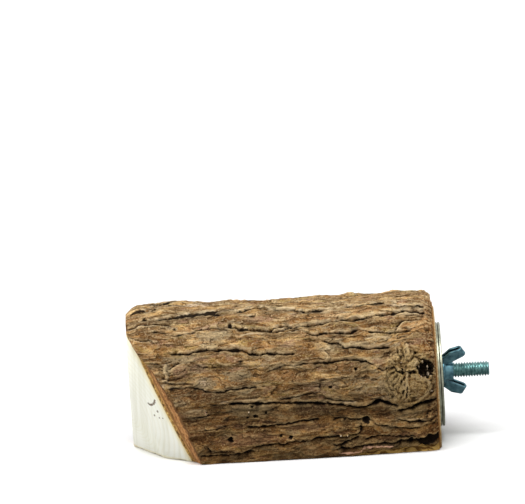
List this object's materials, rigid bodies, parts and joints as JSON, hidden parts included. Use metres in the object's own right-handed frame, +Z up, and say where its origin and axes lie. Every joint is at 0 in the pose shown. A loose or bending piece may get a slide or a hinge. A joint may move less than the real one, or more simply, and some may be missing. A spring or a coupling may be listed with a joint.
{
  "type": "bird perch",
  "caption": "Bark-covered log perch with a slanting sawn end, a flat underside and a hanger bolt with large washers and a wing nut that clamps it to cage wires.",
  "frame": {"origin": "on the bolt's axis, at the log's square mounting end, where it clamps to the cage wires", "axes": "+X along the bolt, away from the log and through the cage wires; -Y to the front; +Z up, with the flat sawn underside facing -Z"},
  "size_m": [0.1871, 0.0857, 0.0775],
  "materials": {
    "sawn_wood": "dry band-sawn pale wood",
    "inner_bark": "smooth cut inner bark",
    "rough_bark": "dry furrowed bark, matte",
    "knot_wood": "weathered branch stump",
    "bolt_steel": "zinc-plated rolled thread",
    "washer_zinc": "zinc-plated sheet, satin",
    "nut_zinc": "zinc-plated pressed sheet"
  },
  "bodies": {
    "log": {"wood_core": "sawn_wood", "inner_bark": "inner_bark", "outer_bark": "rough_bark", "knot": "knot_wood", "hanger_bolt": "bolt_steel"},
    "inner_washer": {"inner_washer": "washer_zinc"},
    "outer_washer": {"outer_washer": "washer_zinc"},
    "wing_nut": {"wing_nut": "nut_zinc"}
  },
  "joints": [
    {"name": "inner_washer_turn", "type": "hinge", "parent": "log", "child": "inner_washer", "pos_m": [0.0007, 0, -0.00158], "axis": [1, 0, 0], "continuous": true},
    {"name": "nut_travel", "type": "slide", "parent": "log", "child": "outer_washer", "axis": [1, 0, 0], "range_m": [-0.00023, 0.01834]},
    {"name": "nut_turn", "type": "hinge", "parent": "outer_washer", "child": "wing_nut", "pos_m": [0.0028, 0, 0], "axis": [1, 0, 0], "range_deg": [-60, 4680]}
  ],
  "couplings": [
    {"joint": "nut_turn", "follows": "nut_travel", "rad_per_m": 4452.8}
  ]
}
